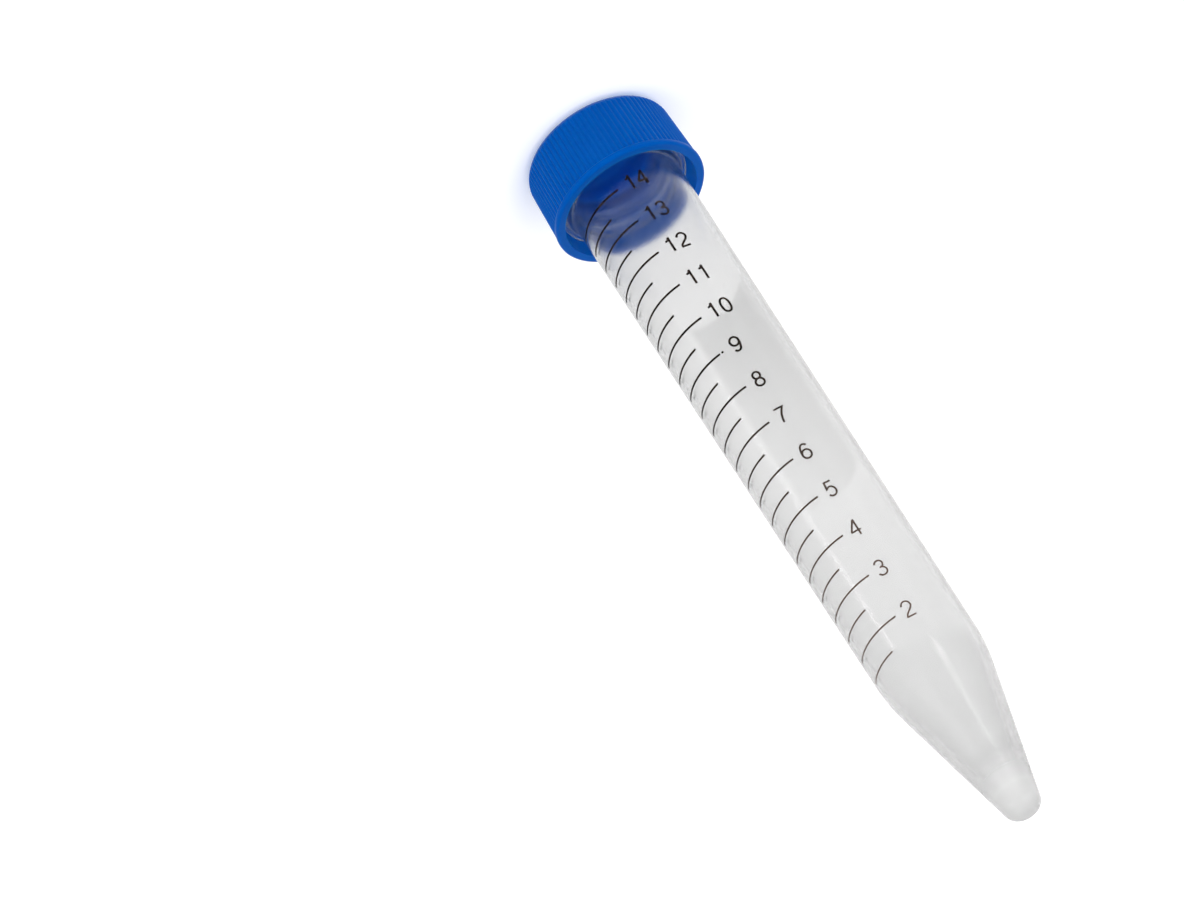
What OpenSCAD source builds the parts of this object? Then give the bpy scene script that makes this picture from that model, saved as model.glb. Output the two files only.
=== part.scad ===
// 15 ml conical centrifuge tube with its ribbed screw cap screwed on.
// It stands on the flat top of the cap with its tip up, and the scale faces -Y.
// Millimetres. The origin is the centre of the cap's flat top.

/* [Tube] */
// Length of the tube from its mouth to its tip
tube_length = 119.5; // [112:0.5:135]
// Outside diameter of the body where the neck's flare ends
body_d = 16.34; // [15.4:0.02:18]
// Outside diameter of the body where the cone begins
shoulder_d = 14.86; // [13.6:0.02:16]
// Wall of the body, which also sets the bore of the neck
wall = 0.8; // [0.6:0.05:1.2]

/* [Cone] */
// Length of the cone from the shoulder to the end of the tip
cone_length = 23.8; // [20:0.2:27]
// Outside diameter that the cone reaches at the end of the tip
tip_d = 4.5; // [4:0.1:6]
// Rounding of the edge of the tip
tip_round = 1.9; // [0.4:0.1:2.2]
// Thickness of the plastic under the bottom of the bore
tip_wall = 2.3; // [1.2:0.1:4]
// Diameter that the bore's cone reaches at its bottom
bore_tip_d = 2.3; // [1.6:0.1:3]
// Rounding of the edge of the bore's bottom
bore_tip_round = 1.1; // [0.2:0.1:1.2]
// Radius that blends the body into the cone
shoulder_round = 28; // [4:1:36]

/* [Neck] */
// Wall of the neck under its thread
neck_wall = 0.76; // [0.6:0.02:1.2]
// Length of the neck from the mouth to the collar
neck_length = 6.3; // [5:0.1:9]
// Width of the collar outside the body
collar_width = 1.27; // [0.8:0.01:1.8]
// Thickness of the collar at its edge
collar_thickness = 1.2; // [0.6:0.1:2]
// Radius of the flare from the collar to the body, kept within the collar's width
flare_round = 1.1; // [0.4:0.05:1.6]
// Rounding of the mouth and of the collar's edges
edge_round = 0.15; // [0.05:0.05:0.25]

/* [Cap] */
// Height of the cap from its flat top to its rim
cap_height = 11.1; // [10:0.1:13]
// Wall of the skirt around its mouth, measured over the ribs
skirt_wall = 1.16; // [0.9:0.02:1.8]
// Draft of the ribbed skirt, from the rim band to the flat top
skirt_draft = 0.38; // [0.1:0.02:0.6]
// Rounding of the top's outer edge
cap_top_round = 2.1; // [1:0.1:2.6]
// Thickness of the cap's top
cap_top_thickness = 1.45; // [1:0.05:2.5]
// Step of the smooth rim band outside the ribs
band_step = 0.12; // [0.06:0.02:0.4]
// Height of the smooth band
band_height = 1; // [0.8:0.1:1.6]
// Rounding of the band's outer edges
band_round = 0.4; // [0.1:0.05:0.4]
// Number of grip ribs around the skirt
rib_count = 90; // [60:6:120]
// Depth of the grooves between the ribs
rib_depth = 0.16; // [0.08:0.02:0.3]
// Room for the threads between the neck and the skirt
thread_room = 1.1; // [0.8:0.05:1.4]
// Gap between the collar and the skirt's mouth
collar_gap = 0.5; // [0.2:0.05:0.9]
// Depth of the skirt's mouth
skirt_mouth_depth = 3.5; // [2.4:0.1:4.5]
// Rounding of the edges inside the skirt
skirt_round = 0.2; // [0.05:0.05:0.3]

/* [Plug seal] */
// Length of the ring that plugs the tube's mouth
plug_length = 2.4; // [1:0.1:4]
// Wall of the plug ring
plug_wall = 0.8; // [0.5:0.05:1.2]
// Rounding of the plug ring's free end
plug_round = 0.3; // [0.1:0.05:0.35]
// Gap between the plug ring and the tube's bore
plug_clearance = 0.08; // [0.02:0.02:0.2]
// Gap between the tube's mouth and the cap's top
mouth_gap = 0.05; // [0.02:0.01:0.2]

/* [Scale] */
// Lowest volume that has a mark, in millilitres
first_ml = 1.5; // [1.5:0.5:3]
// Highest volume that has a mark, in millilitres
last_ml = 14; // [10:0.5:14]
// Step between marks, in millilitres
ml_step = 0.5; // [0.5:0.5:1]
// Width of each printed line
line_width = 0.27; // [0.2:0.01:0.5]
// Angle from -Y to where the whole millilitre marks begin
long_start = 3.3; // [0:0.1:20]
// Angle from -Y to where the half millilitre marks begin
short_start = 25; // [20:0.5:50]
// Angle from -Y to where all marks end
marks_end = 75; // [60:0.5:90]
// Thickness of the print
ink = 0.03; // [0.02:0.01:0.1]

/* [Writing patch] */
// Length of the white patch along the tube
patch_length = 34; // [20:1:50]
// Width of the white patch around the tube
patch_width = 13.7; // [8:0.1:18]
// Height of the patch's lower edge
patch_z = 29.3; // [20:0.1:40]
// Angle from -Y to the patch's first edge
patch_start = 158.5; // [120:0.5:180]

/* [Hidden] */
$fn = 180;
tolerance = 0.01;

mouth_z = cap_top_thickness + mouth_gap;
tip_z = mouth_z + tube_length;
shoulder_z = tip_z - cone_length;
collar_z = mouth_z + neck_length;
flare_z = collar_z + collar_thickness;
flare_r = min(flare_round, collar_width - edge_round);
body_z = flare_z + flare_r;
bore_end_z = tip_z - tip_wall;
taper = (body_d - shoulder_d) / 2 / (shoulder_z - body_z);
shoulder_bore_r = shoulder_d / 2 - wall;
mouth_bore_r = body_r(mouth_z) - wall;
neck_r = mouth_bore_r + neck_wall;
collar_r = body_r(flare_z) + collar_width;
thread_bore_r = neck_r + thread_room;
skirt_mouth_r = collar_r + collar_gap;
rib_r = skirt_mouth_r + skirt_wall;
band_r = rib_r + band_step;

// Outside radius of the body at a height, carried on into the neck.
function body_r(z) = shoulder_d / 2 + taper * (shoulder_z - z);

// Volume of the bore in the cone, in cubic millimetres.
cone_volume = frustum(shoulder_bore_r, bore_tip_d / 2, cone_length - tip_wall);
function frustum(r1, r2, h) = PI * h / 3 * (r1 * r1 + r1 * r2 + r2 * r2);

// Height of the surface of a volume, with the tube held tip down.
function level_z(ml) =
    let (
        volume = 1000 * ml - cone_volume,
        r = pow(pow(shoulder_bore_r, 3) + 3 * taper * volume / PI, 1 / 3)
    )
    shoulder_z - volume / frustum(shoulder_bore_r, r, 1);

// Replaces the corner between a and c by an arc of points.
function corner(a, b, c) =
    let (
        u = unit([a.x, a.y] - [b.x, b.y]),
        v = unit([c.x, c.y] - [b.x, b.y]),
        half = acos(u * v) / 2,
        centre = [b.x, b.y] + unit(u + v) * b.z / sin(half),
        from = [b.x, b.y] + u * b.z / tan(half) - centre,
        sweep = (180 - 2 * half) * sign(cross(v, u)),
        steps = ceil(abs(sweep) / (2 * acos(1 - tolerance / b.z)))
    )
    [for (i = [0:steps]) centre + turned(from, sweep * i / steps)];

function unit(v) = v / norm(v);

function turned(v, angle) = [
    v.x * cos(angle) - v.y * sin(angle),
    v.x * sin(angle) + v.y * cos(angle)
];

// A closed outline of [radius, height, rounding] corners, each one rounded.
function rounded(p) = [
    for (i = [0:len(p) - 1])
        each p[i].z == 0
            ? [[p[i].x, p[i].y]]
            : corner(p[(i + len(p) - 1) % len(p)], p[i], p[(i + 1) % len(p)])
];

module revolve(corners) {
    rotate_extrude() polygon(rounded(corners));
}

// A thin skin on the body from height z0 to z1, between two angles from -Y.
module printed(z0, z1, from, to) {
    rotate([0, 0, from - 90])
        rotate_extrude(angle = to - from)
            polygon([
                [body_r(z0), z0],
                [body_r(z0) + ink, z0],
                [body_r(z1) + ink, z1],
                [body_r(z1), z1]
            ]);
}

// The tube is one moulding: neck, collar, tapered body and cone.
module tube() {
    color([0.86, 0.88, 0.88, 0.45])
        revolve([
            [0, tip_z, 0],
            [tip_d / 2, tip_z, tip_round],
            [shoulder_d / 2, shoulder_z, shoulder_round],
            [body_r(flare_z), flare_z, flare_r],
            [collar_r, flare_z, edge_round / 2],
            [collar_r, collar_z, edge_round],
            [neck_r, collar_z, edge_round],
            [neck_r, mouth_z, edge_round],
            [mouth_bore_r, mouth_z, edge_round],
            [shoulder_bore_r, shoulder_z, shoulder_round - wall],
            [bore_tip_d / 2, bore_end_z, bore_tip_round],
            [0, bore_end_z, 0]
        ]);
}

// Outline of the ribbed skirt at the flat top, with a rounded rib at every step.
rib_points = 6;
function rib_outline(crest_r) = [
    for (i = [0:rib_count * rib_points - 1])
        let (
            turn = 360 * i / (rib_count * rib_points),
            groove = rib_depth * (1 - cos(rib_count * turn)) / 2
        )
        turned([0, groove - crest_r], turn)
];

// The ribs start at the top's rounded edge and end inside the rim band.
module ribbed_skirt() {
    height = cap_height - band_height / 2;
    top_r = rib_r - skirt_draft;
    end_r = top_r + skirt_draft * height / (cap_height - band_height);
    clear = 0.02;
    intersection() {
        linear_extrude(height = height, scale = end_r / top_r)
            polygon(rib_outline(top_r));
        revolve([
            [0, 0, 0],
            [top_r + clear, 0, cap_top_round],
            [end_r + clear, height, 0],
            [0, height, 0]
        ]);
    }
}

module rim_band() {
    inner_r = thread_bore_r - band_height;
    revolve([
        [inner_r, cap_height - band_height, 0],
        [band_r, cap_height - band_height, band_round],
        [band_r, cap_height, band_round],
        [inner_r, cap_height, 0]
    ]);
}

// The space inside the skirt: the thread's bore, a step and the mouth.
module skirt_cavity() {
    step_z = cap_height - skirt_mouth_depth;
    above_rim = cap_height + 1;
    revolve([
        [0, cap_top_thickness, 0],
        [thread_bore_r, cap_top_thickness, skirt_round],
        [thread_bore_r, step_z - (skirt_mouth_r - thread_bore_r), skirt_round],
        [skirt_mouth_r, step_z, skirt_round],
        [skirt_mouth_r, above_rim, 0],
        [0, above_rim, 0]
    ]);
}

module plug_ring() {
    plug_r = mouth_bore_r - plug_clearance;
    root_z = cap_top_thickness / 2;
    end_z = cap_top_thickness + plug_length;
    revolve([
        [plug_r - plug_wall, root_z, 0],
        [plug_r, root_z, 0],
        [plug_r, end_z, plug_round],
        [plug_r - plug_wall, end_z, plug_round]
    ]);
}

// The cap is one moulding: flat top, ribbed skirt, rim band and plug ring.
module cap() {
    color([0.02, 0.3, 0.72]) {
        difference() {
            union() {
                ribbed_skirt();
                rim_band();
            }
            skirt_cavity();
        }
        plug_ring();
    }
}

// A mark at every step whose level lies on the straight body.
module graduation_marks() {
    color([0.07, 0.07, 0.08])
        for (ml = [first_ml:ml_step:last_ml]) {
            z = level_z(ml);
            start = ml == floor(ml) ? long_start : short_start;
            if (z - line_width > body_z)
                printed(z - line_width / 2, z + line_width / 2, start, marks_end);
        }
}

module writing_patch() {
    color([0.96, 0.96, 0.96])
        printed(
            patch_z,
            patch_z + patch_length,
            patch_start,
            patch_start + 360 * patch_width / (PI * body_d)
        );
}

tube();
cap();
graduation_marks();
writing_patch();
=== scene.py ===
"""A clear 15 ml conical tube with a printed scale, a white writing patch and a blue screw cap.

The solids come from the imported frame. The tube and its print are made again here as finer
meshes of the same form, with the threads and the numbers that the solids leave out.
Lengths are metres, and angles round the tube are degrees from -Y towards +X.
"""

import math

import bmesh
import bpy
from mathutils import Euler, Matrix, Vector
from mathutils.geometry import delaunay_2d_cdt


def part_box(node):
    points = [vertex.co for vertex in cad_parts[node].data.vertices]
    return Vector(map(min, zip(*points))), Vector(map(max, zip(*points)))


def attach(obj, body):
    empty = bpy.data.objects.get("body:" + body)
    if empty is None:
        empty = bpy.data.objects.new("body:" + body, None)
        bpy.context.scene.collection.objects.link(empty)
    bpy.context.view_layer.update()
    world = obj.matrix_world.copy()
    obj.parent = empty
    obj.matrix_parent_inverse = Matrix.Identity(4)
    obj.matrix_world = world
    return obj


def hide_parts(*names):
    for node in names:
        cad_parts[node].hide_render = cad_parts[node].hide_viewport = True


MM = 0.001
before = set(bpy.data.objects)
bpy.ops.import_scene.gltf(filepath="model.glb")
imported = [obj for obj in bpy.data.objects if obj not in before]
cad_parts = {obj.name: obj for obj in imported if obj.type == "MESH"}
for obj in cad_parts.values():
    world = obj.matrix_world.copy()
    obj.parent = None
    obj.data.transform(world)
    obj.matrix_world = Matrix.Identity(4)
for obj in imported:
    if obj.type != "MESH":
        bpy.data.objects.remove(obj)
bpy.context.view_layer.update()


# ------------------------------------------------------------ what the solids measure

SAME_DIGITS = 7
LEVEL = 0.001 * MM
LEDGE = 0.1 * MM
GAP_BETWEEN_MARKS = 0.5 * MM


def seam_outline(node):
    """The (radius, height) outline of a turned solid, read along its seam on the +X side."""
    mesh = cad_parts[node].data
    on_seam = {
        v.index: (round(v.co.x, SAME_DIGITS), round(v.co.z, SAME_DIGITS))
        for v in mesh.vertices
        if abs(v.co.y) < 10**-SAME_DIGITS and v.co.x > 0
    }
    links = {point: set() for point in on_seam.values()}
    for edge in mesh.edges:
        a, b = (on_seam.get(i) for i in edge.vertices)
        if a and b and a != b:
            links[a].add(b)
            links[b].add(a)
    outline = [max(links, key=lambda p: (p[1], -p[0]))]
    while True:
        ahead = [p for p in links[outline[-1]] if p not in outline]
        if not ahead:
            return [Vector(p) for p in outline]
        outline.append(min(ahead, key=lambda p: math.dist(p, outline[-1])))


def angle_of(co):
    """Angle round the tube, in degrees from -Y towards +X."""
    return math.degrees(math.atan2(co.x, -co.y)) % 360


def marks_of(node):
    """The (height, half width, first angle, last angle) of each printed line, from the tip down."""
    points = sorted(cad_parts[node].data.vertices, key=lambda v: -v.co.z)
    groups = [[points[0].co]]
    for v in points[1:]:
        if groups[-1][-1].z - v.co.z > GAP_BETWEEN_MARKS:
            groups.append([])
        groups[-1].append(v.co)
    marks = []
    for group in groups:
        top, bottom = group[0].z, group[-1].z
        angles = [angle_of(co) for co in group]
        marks.append(((top + bottom) / 2, (top - bottom) / 2, min(angles), max(angles)))
    return marks


# The outline runs from the tip down the outside to the mouth, and up the bore.
TUBE_OUTLINE = seam_outline("tube")
MOUTH_Z = min(p.y for p in TUBE_OUTLINE)
MOUTH_INDEX = min(i for i, p in enumerate(TUBE_OUTLINE) if p.y < MOUTH_Z + LEVEL)
OUTSIDE = TUBE_OUTLINE[: MOUTH_INDEX + 1]
COLLAR_R = max(p.x for p in OUTSIDE)
COLLAR_Z = min(p.y for p in OUTSIDE if p.x > COLLAR_R - LEDGE)
NECK_R = max(p.x for p in OUTSIDE if p.y < COLLAR_Z - MM)
MARKS = marks_of("graduation_marks")


def body_radius(z):
    """Outside radius of the tube's body at a height."""
    for upper, lower in zip(OUTSIDE, OUTSIDE[1:]):
        if lower.y <= z <= upper.y:
            share = (z - lower.y) / (upper.y - lower.y)
            return lower.x + share * (upper.x - lower.x)
    raise ValueError("no body at this height")


# ------------------------------------------------------------------------ mesh helpers

CORNER_SUPPORT = 0.15 * MM


def add_mesh(name, points, faces, material, smooth=True):
    mesh = bpy.data.meshes.new(name)
    mesh.from_pydata([tuple(p) for p in points], [], faces)
    mesh.validate()
    built = bmesh.new()
    built.from_mesh(mesh)
    bmesh.ops.recalc_face_normals(built, faces=built.faces)
    built.to_mesh(mesh)
    built.free()
    mesh.materials.append(material)
    mesh.polygons.foreach_set("use_smooth", [smooth] * len(mesh.polygons))
    piece = bpy.data.objects.new(name, mesh)
    bpy.context.collection.objects.link(piece)
    return piece


def with_support_rings(outline, z_low, z_high, longest):
    """Adds a ring near each end of a long step, and fine steps between two heights."""
    rings = [outline[0]]
    for a, b in zip(outline, outline[1:]):
        length = (b - a).length
        if z_low < (a.y + b.y) / 2 < z_high:
            count = max(1, math.ceil(length / longest))
            shares = [i / count for i in range(1, count + 1)]
        elif length > 6 * CORNER_SUPPORT:
            shares = [CORNER_SUPPORT / length, 1 - CORNER_SUPPORT / length, 1]
        else:
            shares = [1]
        rings += [a.lerp(b, share) for share in shares]
    return rings


def turned_points(outline, segments, relief):
    """Rings of points round the axis, with relief(angle, radius, height) added to the radius."""
    points = []
    for ring in outline:
        for k in range(segments):
            angle = 360 * k / segments
            r = ring.x + relief(angle, ring.x, ring.y)
            turn = math.radians(angle)
            points.append((r * math.sin(turn), -r * math.cos(turn), ring.y))
    return points


def turned_faces(rings, segments):
    faces = []
    for i in range(rings - 1):
        for k in range(segments):
            j = (k + 1) % segments
            row, below = i * segments, (i + 1) * segments
            faces.append((row + k, row + j, below + j, below + k))
    return faces


def lathe(name, outline, material, relief, segments=440):
    """Turns an outline into a closed mesh, whose first and last rings run into the axis."""
    points = turned_points(outline, segments, relief)
    faces = turned_faces(len(outline), segments)
    for ring, row in ((outline[0], 0), (outline[-1], (len(outline) - 1) * segments)):
        points.append((0, 0, ring.y))
        pole = len(points) - 1
        faces += [(row + k, row + (k + 1) % segments, pole) for k in range(segments)]
    return add_mesh(name, points, faces, material)


def on_body(angle, z, lift):
    """A point at a height over the body's surface."""
    r = body_radius(z) + lift
    turn = math.radians(angle)
    return Vector((r * math.sin(turn), -r * math.cos(turn), z))


INK_LIFT = 0.004 * MM
INK_THICKNESS = 0.02 * MM


def printed_skin(name, flat_points, flat_faces, material):
    """A closed skin on the body from a flat layout of (angle, height) points."""
    count = len(flat_points)
    points = [on_body(a, z, INK_LIFT) for a, z in flat_points]
    points += [on_body(a, z, INK_LIFT + INK_THICKNESS) for a, z in flat_points]
    faces = [tuple(reversed(f)) for f in flat_faces]
    faces += [tuple(i + count for i in f) for f in flat_faces]
    edges = [edge for face in flat_faces for edge in zip(face, face[1:] + face[:1])]
    shared = set(edges) & {(b, a) for a, b in edges}
    faces += [(a, b, b + count, a + count) for a, b in edges if (a, b) not in shared]
    return add_mesh(name, points, faces, material, smooth=False)


# ------------------------------------------------------------------------ node helpers


def new_material(name):
    material = bpy.data.materials.new(name)
    material.use_nodes = True
    nodes = material.node_tree.nodes
    return material, nodes, material.node_tree.links, nodes["Principled BSDF"]


def set_values(shader, **values):
    for name, value in values.items():
        shader.inputs[name.replace("_", " ")].default_value = value


def add_height(nodes, links):
    """The height over the origin, in metres."""
    place = nodes.new("ShaderNodeTexCoord")
    axes = nodes.new("ShaderNodeSeparateXYZ")
    links.new(place.outputs["Object"], axes.inputs[0])
    return axes.outputs["Z"]


def add_noise(nodes, links, scale, detail):
    """A noise in the object's own metres."""
    place = nodes.new("ShaderNodeTexCoord")
    noise = nodes.new("ShaderNodeTexNoise")
    noise.inputs["Scale"].default_value = scale
    noise.inputs["Detail"].default_value = detail
    links.new(place.outputs["Object"], noise.inputs["Vector"])
    return noise.outputs["Fac"]


def add_range(nodes, links, value, low, high, from_low=0.0, from_high=1.0):
    mapped = nodes.new("ShaderNodeMapRange")
    links.new(value, mapped.inputs["Value"])
    mapped.inputs["From Min"].default_value = from_low
    mapped.inputs["From Max"].default_value = from_high
    mapped.inputs["To Min"].default_value = low
    mapped.inputs["To Max"].default_value = high
    return mapped.outputs["Result"]


def add_math(nodes, links, operation, *values):
    node = nodes.new("ShaderNodeMath")
    node.operation = operation
    for socket, value in zip(node.inputs, values):
        if isinstance(value, (int, float)):
            socket.default_value = value
        else:
            links.new(value, socket)
    return node.outputs[0]


def add_profile(nodes, links, value, low, high, stops):
    """A tone that follows (place, tone) stops along a value between low and high."""
    ramp = nodes.new("ShaderNodeValToRGB")
    links.new(add_range(nodes, links, value, 0, 1, low, high), ramp.inputs["Fac"])
    peak = max(tone for _, tone in stops)
    places = [(place - low) / (high - low) for place, _ in stops]
    elements = ramp.color_ramp.elements
    elements[0].position, elements[1].position = places[0], places[-1]
    for place in places[1:-1]:
        elements.new(place)
    for element, (_, tone) in zip(elements, stops):
        element.color = (tone / peak, tone / peak, tone / peak, 1)
    return add_math(nodes, links, "MULTIPLY", ramp.outputs["Color"], peak)


def add_colour(nodes, links, share, shader, first, second):
    """Gives a shader a colour between two, by a share that varies over the surface."""
    blend = nodes.new("ShaderNodeMix")
    blend.data_type = "RGBA"
    blend.inputs["A"].default_value = (*first, 1)
    blend.inputs["B"].default_value = (*second, 1)
    links.new(share, blend.inputs["Factor"])
    links.new(blend.outputs["Result"], shader.inputs["Base Color"])
    return blend.outputs["Result"]


def add_bump(nodes, links, height, shader, strength, distance):
    bump = nodes.new("ShaderNodeBump")
    bump.inputs["Strength"].default_value = strength
    bump.inputs["Distance"].default_value = distance
    links.new(height, bump.inputs["Height"])
    links.new(bump.outputs["Normal"], shader.inputs["Normal"])


def mix_in(nodes, links, shader, other, share):
    """Sends a mix of two shaders to the surface. The share is a number or a socket."""
    mix = nodes.new("ShaderNodeMixShader")
    if isinstance(share, float):
        mix.inputs["Fac"].default_value = share
    else:
        links.new(share, mix.inputs["Fac"])
    links.new(shader.outputs[0], mix.inputs[1])
    links.new(other.outputs[0], mix.inputs[2])
    links.new(mix.outputs[0], nodes["Material Output"].inputs["Surface"])


def let_lamps_through(nodes, links, shader, tint):
    """Gives lamps a straight way through a clear shader, tinted at each surface."""
    clear = nodes.new("ShaderNodeBsdfTransparent")
    clear.inputs["Color"].default_value = (*tint, 1)
    mix_in(nodes, links, shader, clear, nodes.new("ShaderNodeLightPath").outputs["Is Shadow Ray"])


# --------------------------------------------------------------------------- materials

TUBE_TOP = 120 * MM
# How light the clear plastic is, by height: its own light grey, with painted shade that darkens it
# towards the thick, top-lit tip.
CLEAR_TONE_AND_PAINTED_SHADE = [
    (10 * MM, 0.84),
    (28 * MM, 0.842),
    (42 * MM, 0.85),
    (58 * MM, 0.853),
    (70 * MM, 0.828),
    (85 * MM, 0.81),
    (103 * MM, 0.785),
    (111 * MM, 0.785),
    (114.5 * MM, 0.68),
    (118 * MM, 0.64),
]
# And how rough: clearest just above the cap, and frosted along the cone.
CLEAR_ROUGHNESS = [
    (9 * MM, 0.24),
    (13 * MM, 0.14),
    (24 * MM, 0.14),
    (36 * MM, 0.17),
    (98 * MM, 0.17),
    (110 * MM, 0.26),
]


def clear_plastic():
    """Natural polypropylene: clear, and milkier the nearer it is to the thick tip, where painted
    shade also darkens it.
    """
    material, nodes, links, shader = new_material("clear_plastic_look")
    set_values(shader, IOR=1.45, Specular_Tint=(0.5, 0.5, 0.5, 1))
    height = add_height(nodes, links)
    clear = add_range(nodes, links, height, 1.0, 0.95, from_low=25 * MM, from_high=105 * MM)
    tip = add_range(nodes, links, height, 1.0, 0.45, from_low=113 * MM, from_high=117.5 * MM)
    share = add_math(nodes, links, "MULTIPLY", clear, tip)
    links.new(share, shader.inputs["Transmission Weight"])
    rough = add_profile(nodes, links, height, 0, TUBE_TOP, CLEAR_ROUGHNESS)
    links.new(rough, shader.inputs["Roughness"])
    # Base colour by height: the plastic's own light grey, darkened towards the cone and tip as
    # painted shade.
    tone = add_profile(nodes, links, height, 0, TUBE_TOP, CLEAR_TONE_AND_PAINTED_SHADE)
    links.new(tone, shader.inputs["Base Color"])
    let_lamps_through(nodes, links, shader, tint=(0.98, 0.98, 0.98))
    return material


def blue_plastic():
    """Satin moulded polypropylene in a full mid blue."""
    material, nodes, links, shader = new_material("blue_plastic_look")
    set_values(shader, IOR=1.49, Roughness=0.36, Specular_IOR_Level=0.07)
    set_values(shader, Specular_Tint=(0.02, 0.35, 1, 1), Subsurface_Weight=0.4)
    set_values(shader, Subsurface_Radius=(0.2, 0.6, 1.0), Subsurface_Scale=2 * MM)
    flow = add_noise(nodes, links, scale=180, detail=3.0)
    add_colour(nodes, links, flow, shader, (0.0, 0.066, 0.32), (0.0, 0.078, 0.35))
    grain = add_noise(nodes, links, scale=9000, detail=2.0)
    add_bump(nodes, links, grain, shader, strength=0.08, distance=0.02 * MM)
    let_lamps_through(nodes, links, shader, tint=(0.0, 0.55, 0.85))
    return material


def black_ink():
    """Screen ink: near black at the top of the scale, thinner and browner towards the tip."""
    material, nodes, links, shader = new_material("black_ink_look")
    set_values(shader, Roughness=0.5, IOR=1.45, Specular_IOR_Level=0.08)
    height = add_height(nodes, links)
    thin = add_range(nodes, links, height, 0, 0.8, from_low=50 * MM, from_high=95 * MM)
    grain = add_noise(nodes, links, scale=2600, detail=3.0)
    speckle = add_range(nodes, links, grain, 0, 0.4, from_low=0.4, from_high=0.7)
    share = add_math(nodes, links, "ADD", thin, speckle)
    add_colour(nodes, links, share, shader, (0.0, 0.0, 0.0), (0.12, 0.085, 0.07))
    return material


def white_ink():
    """Matt white screen ink with a faint mottle, lighter higher up as painted light, and thin
    enough for light to glow through.
    """
    material, nodes, links, shader = new_material("white_ink_look")
    set_values(shader, Roughness=0.6, IOR=1.45)
    height = add_height(nodes, links)
    # Painted light: the ink is made lighter from 40 mm to 60 mm up, standing in for the brighter
    # light there.
    lighter = add_range(nodes, links, height, 0, 0.8, from_low=40 * MM, from_high=60 * MM)
    mottle = add_noise(nodes, links, scale=900, detail=3.0)
    share = add_math(nodes, links, "ADD", lighter, add_math(nodes, links, "MULTIPLY", mottle, 0.3))
    colour = add_colour(nodes, links, share, shader, (0.93, 0.93, 0.93), (0.99, 0.99, 0.99))
    add_bump(nodes, links, mottle, shader, strength=0.1, distance=0.01 * MM)
    glow = nodes.new("ShaderNodeBsdfTranslucent")
    links.new(colour, glow.inputs["Color"])
    mix_in(nodes, links, shader, glow, share=0.6)
    return material


CLEAR = clear_plastic()
BLUE = blue_plastic()
BLACK = black_ink()
WHITE = white_ink()


# -------------------------------------------------------------------- tube and threads

THREAD_PITCH = 2.6 * MM
THREAD_RUN_IN = 0.08
NECK_THREAD_TURNS = 1.75
NECK_THREAD_HEIGHT = 0.72 * MM
NECK_THREAD_CREST = 0.22 * MM
NECK_THREAD_FOOT = 0.62 * MM
NECK_THREAD_Z = MOUTH_Z + 0.75 * MM
NECK_LOW, NECK_HIGH = MOUTH_Z + 0.2 * MM, COLLAR_Z - 0.2 * MM
NECK_STEP = 0.14 * MM
ON_NECK = 0.02 * MM


def run_in(turn, turns):
    """How far a thread has risen at a turn, from 0 at its two ends to 1."""
    return min(1.0, min(turn, turns - turn) / THREAD_RUN_IN)


def neck_thread(angle, z):
    """Height of the right-hand thread's ridge at a place on the neck, with smooth flanks."""
    best = 0.0
    for whole in range(math.ceil(NECK_THREAD_TURNS) + 1):
        turn = angle / 360 + whole
        if 0 <= turn <= NECK_THREAD_TURNS:
            away = abs(z - NECK_THREAD_Z - THREAD_PITCH * turn)
            flank = (NECK_THREAD_FOOT - away) / (NECK_THREAD_FOOT - NECK_THREAD_CREST)
            best = max(best, min(1, max(0, flank)) * run_in(turn, NECK_THREAD_TURNS))
    return NECK_THREAD_HEIGHT * best * best * (3 - 2 * best)


def neck_relief(angle, radius, z):
    if NECK_LOW < z < NECK_HIGH and abs(radius - NECK_R) < ON_NECK:
        return neck_thread(angle, z)
    return 0.0


def make_tube():
    """The tube as one closed turned mesh, with the thread as relief on the neck."""
    outside = with_support_rings(OUTSIDE, NECK_LOW, NECK_HIGH, NECK_STEP)
    bore = TUBE_OUTLINE[MOUTH_INDEX + 1 :]
    piece = lathe("tube_body", outside + bore, CLEAR, neck_relief)
    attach(piece, "tube")
    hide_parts("tube")


# --------------------------------------------------------------------------- the print

BOLD, LIGHT = 1.22, 0.85
BOLD_UP_TO, LIGHT_FROM = 40 * MM, 95 * MM

# Long lines start nearer the numbers. The first one from the tip is the 2 ml line.
LONGER_BY = 5
LONG_MARKS = [mark for mark in MARKS if mark[2] < MARKS[0][2] - LONGER_BY]
FIRST_NUMBER = 2
# One line has lost a chip near its end, between two angles from there.
CHIPPED_NUMBER = 9
CHIP_START, CHIP_END = 2.3, 4.0
LINE_STEP = 1.5

PATCH_COLUMNS, PATCH_ROWS = 72, 40
PATCH_CORNER, PATCH_CORNER_ROWS = 0.35 * MM, 3


def print_weight(z):
    """How heavily the scale is printed: bold near the cap, lighter towards the tip."""
    share = min(1.0, max(0.0, (z - BOLD_UP_TO) / (LIGHT_FROM - BOLD_UP_TO)))
    return BOLD - (BOLD - LIGHT) * share


def make_marks():
    """Each printed line as a strip of short cells."""
    points, faces = [], []
    for mark in MARKS:
        z, half, first, last = mark
        wide = half * print_weight(z)
        spans = [(first, last)]
        if mark == LONG_MARKS[CHIPPED_NUMBER - FIRST_NUMBER]:
            spans = [(first, first + CHIP_START), (first + CHIP_END, last)]
        for start, end in spans:
            cells = math.ceil((end - start) / LINE_STEP)
            for i in range(cells + 1):
                angle = start + (end - start) * i / cells
                points += [(angle, z - wide), (angle, z + wide)]
                if i:
                    k = len(points) - 4
                    faces.append((k, k + 2, k + 3, k + 1))
    piece = printed_skin("scale_lines", points, faces, BLACK)
    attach(piece, "tube")
    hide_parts("graduation_marks")


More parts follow.
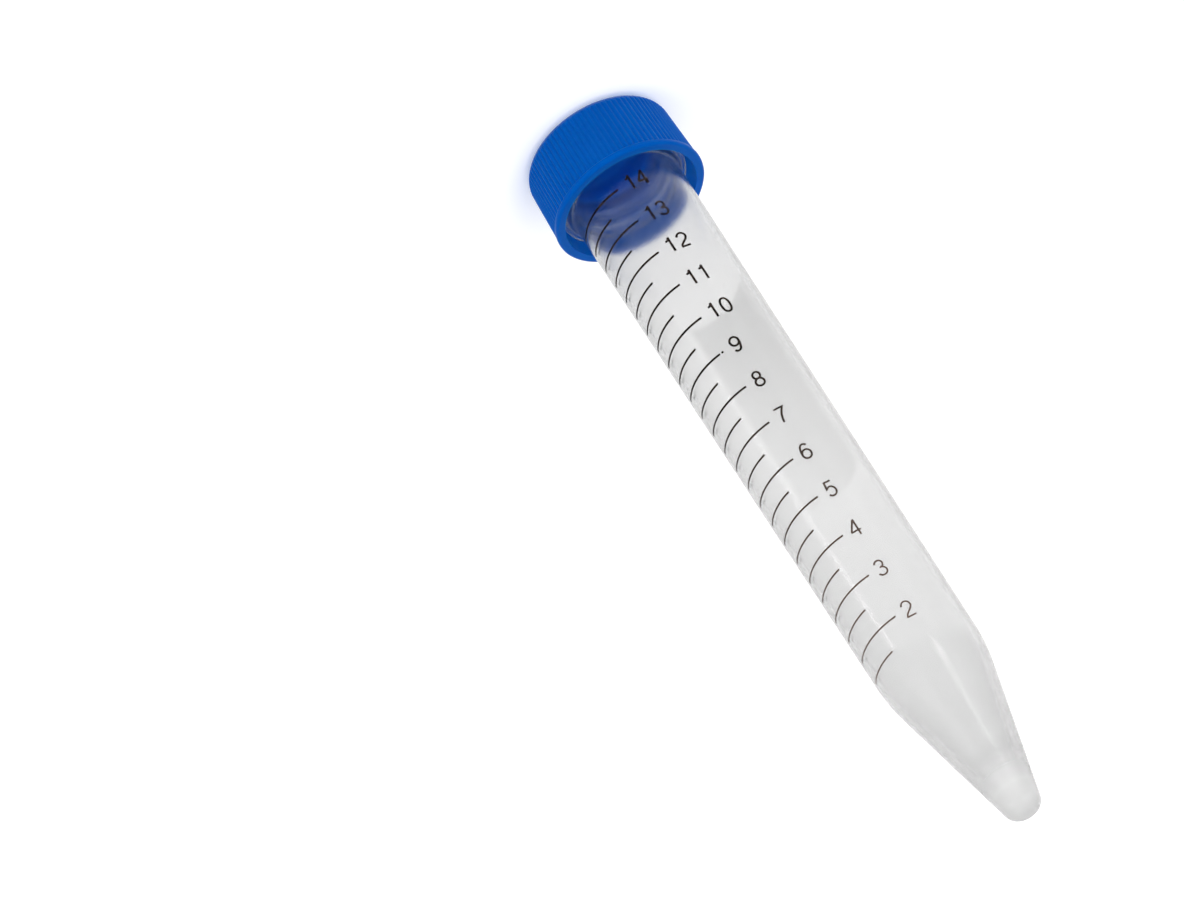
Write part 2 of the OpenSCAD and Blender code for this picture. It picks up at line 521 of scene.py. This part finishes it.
def make_patch():
    """The patch as a grid of cells whose ends draw in to round its corners."""
    low, high = (corner.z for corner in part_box("writing_patch"))
    angles = [angle_of(v.co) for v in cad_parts["writing_patch"].data.vertices]
    first, last = min(angles), max(angles)
    steps = [PATCH_CORNER * i / PATCH_CORNER_ROWS for i in range(PATCH_CORNER_ROWS)]
    straight = high - low - 2 * PATCH_CORNER
    heights = [low + step for step in steps]
    heights += [low + PATCH_CORNER + straight * i / PATCH_ROWS for i in range(PATCH_ROWS + 1)]
    heights += [high - step for step in reversed(steps)]
    points, faces = [], []
    for z in heights:
        depth = max(0.0, PATCH_CORNER - min(z - low, high - z))
        half_chord = math.sqrt(max(0.0, PATCH_CORNER**2 - depth**2))
        inset = math.degrees((PATCH_CORNER - half_chord) / body_radius(z))
        for i in range(PATCH_COLUMNS + 1):
            share = i / PATCH_COLUMNS
            points.append((first + inset + (last - first - 2 * inset) * share, z))
    for j in range(len(heights) - 1):
        for i in range(PATCH_COLUMNS):
            k = j * (PATCH_COLUMNS + 1) + i
            faces.append((k, k + 1, k + PATCH_COLUMNS + 2, k + PATCH_COLUMNS + 1))
    piece = printed_skin("white_patch", points, faces, WHITE)
    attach(piece, "tube")
    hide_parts("writing_patch")


# ------------------------------------------------------------------------- the numbers

# Numerals are centre lines in a box, and these sizes are in millimetres.
GLYPH_WIDTH, GLYPH_HEIGHT = 1.2, 2.31
STROKE = 0.265
CELL = 1.79
DROP = 0.06
STROKE_STEP = 0.2
MERGED = 1e-5
# Degrees from -Y, towards -X, to the first digits.
COLUMN_START = 4.9


def bow(cx, cy, rx, ry, start, end, power=1.0):
    """Points along an elliptic arc, in degrees from the right. A power under 1 squares it."""
    count = max(4, math.ceil(abs(end - start) / 12))
    points = []
    for i in range(count + 1):
        turn = math.radians(start + (end - start) * i / count)
        x, y = math.cos(turn), math.sin(turn)
        x = math.copysign(abs(x) ** power, x)
        y = math.copysign(abs(y) ** power, y)
        points.append((cx + rx * x, cy + ry * y))
    return points


def flipped(strokes):
    """The strokes turned half round in the glyph's box."""
    return [[(GLYPH_WIDTH - x, GLYPH_HEIGHT - y) for x, y in stroke] for stroke in strokes]


ONE_FLAG = [(0.0, 1.84), (0.24, 1.88), (0.42, 2.02), (0.53, 2.33)]
TWO_NECK = [(0.93, 1.08), (0.5, 0.7), (0.16, 0.36), (0.03, 0.0)]
THREE_WAIST = [(0.5, 1.2)]
FIVE_FLAG = [(1.06, 2.31), (0.2, 2.31), (0.08, 1.22)]
SEVEN = [(-0.06, 2.27), (1.2, 2.27), (0.86, 1.72), (0.58, 1.12), (0.42, 0.5), (0.36, -0.1)]
SIX_SPINE = [(0.0, 0.8), (0.02, 1.2), (0.12, 1.66)]
SIX = [bow(0.6, 0.71, 0.6, 0.71, 0, 360), SIX_SPINE + bow(0.66, 1.7, 0.5, 0.61, 150, 30)]

# Each numeral is its shift in the cell and its strokes.
NUMERALS = {
    "0": (0.17, [bow(0.6, 1.155, 0.6, 1.155, 0, 360, 0.85)]),
    "1": (0.29, [[(0.55, -0.1), (0.55, 2.41)], ONE_FLAG]),
    "2": (0.14, [bow(0.6, 1.66, 0.6, 0.65, 172, -22) + TWO_NECK, [(-0.06, 0.0), (1.22, 0.0)]]),
    "3": (
        0.11,
        [
            bow(0.57, 1.76, 0.53, 0.55, 165, -75) + THREE_WAIST,
            THREE_WAIST + bow(0.59, 0.62, 0.6, 0.62, 78, -162),
        ],
    ),
    "4": (
        0.0,
        [
            [(0.98, -0.1), (0.98, 2.42)],
            [(0.96, 2.38), (0.02, 0.7)],
            [(-0.06, 0.66), (1.32, 0.66)],
        ],
    ),
    "5": (0.26, [FIVE_FLAG + bow(0.56, 0.74, 0.58, 0.74, 128, -150)]),
    "6": (0.16, SIX),
    "7": (0.18, [SEVEN]),
    "8": (0.16, [bow(0.6, 1.76, 0.49, 0.55, 0, 360), bow(0.6, 0.61, 0.59, 0.61, 0, 360)]),
    "9": (0.16, flipped(SIX)),
}

# The ink has run at the foot of one number's last stem.
SMEARED_NUMBER = 14
SMEAR, SMEAR_WIDTH = [(1.02, 0.5), (1.08, -0.02)], 0.42


def resampled(stroke):
    """The stroke with no step over STROKE_STEP."""
    points = [Vector(stroke[0])]
    for a, b in zip(stroke, stroke[1:]):
        a, b = Vector(a), Vector(b)
        count = max(1, math.ceil((b - a).length / STROKE_STEP))
        points += [a.lerp(b, i / count) for i in range(1, count + 1)]
    return points


def stroke_cells(stroke, width):
    """The four-sided cells of a stroke of constant width, mitred at its points."""
    line = resampled(stroke)
    closed = (line[0] - line[-1]).length < MERGED
    left, right = [], []
    for i, point in enumerate(line):
        before = line[i - 1] if i else (line[-2] if closed else None)
        after = line[i + 1] if i + 1 < len(line) else (line[1] if closed else None)
        inward = (point - before).normalized() if before else None
        outward = (after - point).normalized() if after else None
        along = ((inward or outward) + (outward or inward)).normalized()
        across = Vector((-along.y, along.x))
        lean = max(0.5, along.dot(outward or inward))
        left.append(point + across * width / 2 / lean)
        right.append(point - across * width / 2 / lean)
    return [(left[i], right[i], right[i + 1], left[i + 1]) for i in range(len(line) - 1)]


def number_layout(text, width):
    """The united outline of a number's strokes, as flat points and faces in millimetres."""
    points, cells = [], []
    for place, digit in enumerate(text):
        shift, strokes = NUMERALS[digit]
        drawn = [cell for stroke in strokes for cell in stroke_cells(stroke, width)]
        if text == str(SMEARED_NUMBER) and place == len(text) - 1:
            drawn += stroke_cells(SMEAR, SMEAR_WIDTH)
        for cell in drawn:
            first = len(points)
            points += [p + Vector((CELL * place + shift, 0)) for p in cell]
            cells.append([first, first + 1, first + 2, first + 3])
    inside_only = 1
    flat, _, pieces, _, _, sources = delaunay_2d_cdt(points, [], cells, inside_only, MERGED)
    return flat, [piece for piece, source in zip(pieces, sources) if source]


def make_numbers():
    """A number beside each long line. They read with the cap up, so they stand head down here."""
    points, faces = [], []
    for ml, (z, _, _, _) in enumerate(LONG_MARKS, start=FIRST_NUMBER):
        flat, cells = number_layout(str(ml), STROKE * print_weight(z))
        base = len(points)
        for p in flat:
            height = z - (p.y - GLYPH_HEIGHT / 2 + DROP) * MM
            points.append((-COLUMN_START - math.degrees(p.x * MM / body_radius(z)), height))
        faces += [tuple(base + i for i in cell) for cell in cells]
    piece = printed_skin("scale_numbers", points, faces, BLACK)
    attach(piece, "tube")


# ----------------------------------------------------------------------------- the cap

CAP_BORE_R = NECK_R + 1.1 * MM
CAP_THREAD_R = CAP_BORE_R - 0.75 * MM
CAP_THREAD_SUNK = 0.05 * MM
CAP_THREAD_FOOT, CAP_THREAD_CREST = 0.55 * MM, 0.2 * MM
CAP_THREAD_TURNS = 1.3
CAP_THREAD_STEPS = 96


def make_cap_thread():
    """The ridge inside the skirt that runs between the turns of the neck's thread."""
    count = math.ceil(CAP_THREAD_TURNS * CAP_THREAD_STEPS)
    points, faces = [], []
    for i in range(count + 1):
        turn = CAP_THREAD_TURNS * i / count
        angle = math.tau * turn
        z = NECK_THREAD_Z + THREAD_PITCH / 2 + THREAD_PITCH * turn
        crest_r = CAP_BORE_R - (CAP_BORE_R - CAP_THREAD_R) * run_in(turn, CAP_THREAD_TURNS)
        foot_r = CAP_BORE_R + CAP_THREAD_SUNK
        section = (
            (foot_r, -CAP_THREAD_FOOT),
            (crest_r, -CAP_THREAD_CREST),
            (crest_r, CAP_THREAD_CREST),
            (foot_r, CAP_THREAD_FOOT),
        )
        points += [(r * math.sin(angle), -r * math.cos(angle), z + dz) for r, dz in section]
        if i:
            k = 4 * i
            for j in range(4):
                n = (j + 1) % 4
                faces.append((k - 4 + j, k - 4 + n, k + n, k + j))
    faces += [(0, 1, 2, 3), tuple(4 * count + j for j in (3, 2, 1, 0))]
    piece = add_mesh("cap_thread", points, faces, BLUE, smooth=False)
    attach(piece, "cap")


def dress_cap():
    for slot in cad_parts["cap"].material_slots:
        slot.material = BLUE


# --------------------------------------------------------------------- floor and light

FLOOR_REACH = 3.0
FLOOR_GAP = 0.02 * MM
FLOOR_GLOW = 0.15


def make_floor():
    """A pale floor. A faint glow, only where it is seen directly, keeps shadows on it faint."""
    material, nodes, links, shader = new_material("floor_look")
    set_values(shader, Base_Color=(0.96, 0.96, 0.96, 1), Roughness=1.0, Specular_IOR_Level=0.0)
    set_values(shader, Emission_Color=(1, 1, 1, 1))
    seen = nodes.new("ShaderNodeLightPath").outputs["Is Camera Ray"]
    glow = add_math(nodes, links, "MULTIPLY", seen, FLOOR_GLOW)
    links.new(glow, shader.inputs["Emission Strength"])
    signs = ((-1, -1), (1, -1), (1, 1), (-1, 1))
    corners = [(x * FLOOR_REACH, y * FLOOR_REACH, 0) for x, y in signs]
    floor = add_mesh("floor", corners, [(0, 1, 2, 3)], material, smooth=False)
    floor.location.z = -FLOOR_GAP
    floor.visible_glossy = False


LIT_POINT = Vector((0, 0, 50 * MM))


def add_light(name, place, size, power):
    """A soft lamp that faces the tube's middle and shows in no reflection."""
    data = bpy.data.lights.new(name, "AREA")
    data.shape = "RECTANGLE"
    data.size, data.size_y = size
    data.energy = power
    light = bpy.data.objects.new(name, data)
    light.location = place
    light.visible_glossy = False
    light.rotation_euler = (LIT_POINT - Vector(place)).to_track_quat("-Z", "Y").to_euler()
    bpy.context.collection.objects.link(light)


def make_lights():
    add_light("overhead", (-0.2, -0.1, 1.2), size=(0.9, 0.9), power=3)
    add_light("front", (-0.85, -1.0, 0.52), size=(1.0, 0.6), power=7.5)
    add_light("side", (0.9, -0.9, 0.52), size=(0.8, 0.6), power=6.8)


EVEN_LIGHT = 0.76
# What reflections see: tones by the direction's angle round from -Y towards +X, in degrees.
ROOM = [
    (-180, 1.1), (-150, 1.0), (-120, 0.8), (-90, 0.2), (50, 0.1),
    (100, 0.2), (125, 0.6), (150, 1.0), (180, 1.1),
]
PANEL = [
    (-140, 0.0), (-100, 1.6), (-60, 2.1), (-54, 3.2), (-44, 3.2),
    (-38, 2.0), (34, 2.2), (44, 0.0),
]
STREAK = [(37, 0.0), (42, 11.0), (48, 13.0), (52, 5.0), (56, 0.0)]
CONE_LINE = [(-38, 0.0), (-32, 11.0), (-28, 11.0), (-22, 0.0)]
# And by the upward part of the direction, from -1 to 1.
PANEL_HEIGHT = [
    (-0.57, 0.0), (-0.552, 0.4), (-0.538, 1.0), (-0.46, 1.0),
    (-0.44, 1.7), (-0.42, 0.9), (-0.3, 0.0),
]
STREAK_HEIGHT = [(-0.52, 0.0), (-0.507, 0.6), (-0.497, 1.0), (-0.482, 1.3), (-0.46, 0.0)]
CONE_LINE_HEIGHT = [(-0.36, 0.0), (-0.3, 0.5), (-0.15, 1.0), (-0.09, 1.0), (-0.076, 0.0)]
BRIGHT = ((PANEL, PANEL_HEIGHT), (STREAK, STREAK_HEIGHT), (CONE_LINE, CONE_LINE_HEIGHT))


def make_world():
    """Even white light. Reflections see a dim room instead, with bright panels."""
    world = bpy.data.worlds.new("studio")
    world.use_nodes = True
    bpy.context.scene.world = world
    nodes, links = world.node_tree.nodes, world.node_tree.links
    even = nodes["Background"]
    even.inputs["Color"].default_value = (1, 1, 1, 1)
    even.inputs["Strength"].default_value = EVEN_LIGHT
    axes = nodes.new("ShaderNodeSeparateXYZ")
    links.new(nodes.new("ShaderNodeTexCoord").outputs["Generated"], axes.inputs[0])
    backward = add_math(nodes, links, "MULTIPLY", axes.outputs["Y"], -1)
    turn = add_math(nodes, links, "ARCTAN2", axes.outputs["X"], backward)
    turn = add_math(nodes, links, "DEGREES", turn)
    room = add_profile(nodes, links, turn, -180, 180, ROOM)
    for around, height in BRIGHT:
        tone = add_profile(nodes, links, turn, -180, 180, around)
        share = add_profile(nodes, links, axes.outputs["Z"], -1, 1, height)
        room = add_math(nodes, links, "ADD", room, add_math(nodes, links, "MULTIPLY", tone, share))
    reflected = nodes.new("ShaderNodeBackground")
    links.new(room, reflected.inputs["Strength"])
    reflected.inputs["Color"].default_value = (1, 1, 1, 1)
    path = nodes.new("ShaderNodeLightPath")
    glossy, refracted = path.outputs["Is Glossy Ray"], path.outputs["Is Transmission Ray"]
    mix = nodes.new("ShaderNodeMixShader")
    links.new(add_math(nodes, links, "SUBTRACT", glossy, refracted), mix.inputs["Fac"])
    links.new(even.outputs[0], mix.inputs[1])
    links.new(reflected.outputs[0], mix.inputs[2])
    links.new(mix.outputs[0], nodes["World Output"].inputs["Surface"])


# ------------------------------------------------------------------------------ camera

CAMERA_PLACE = Vector((0.15, -579.16, 414.27)) * MM
CAMERA_TARGET = Vector((22.43, -0.86, 42.08)) * MM
CAMERA_ROLL = math.radians(148.18)
LENS, SENSOR = 158.3, 36.0


def make_camera():
    """The photograph's view: from in front and above, rolled so that the tube lies slantwise."""
    data = bpy.data.cameras.new("camera")
    data.lens = LENS
    data.sensor_width = SENSOR
    data.clip_start, data.clip_end = 0.01, 20
    camera = bpy.data.objects.new("camera", data)
    level = (CAMERA_TARGET - CAMERA_PLACE).to_track_quat("-Z", "Y").to_matrix()
    camera.location = CAMERA_PLACE
    camera.rotation_euler = (level @ Euler((0, 0, CAMERA_ROLL)).to_matrix()).to_euler()
    bpy.context.collection.objects.link(camera)
    bpy.context.scene.camera = camera


make_tube()
make_marks()
make_numbers()
make_patch()
make_cap_thread()
dress_cap()
make_floor()
make_world()
make_lights()
make_camera()
bpy.context.scene.view_settings.view_transform = "Standard"
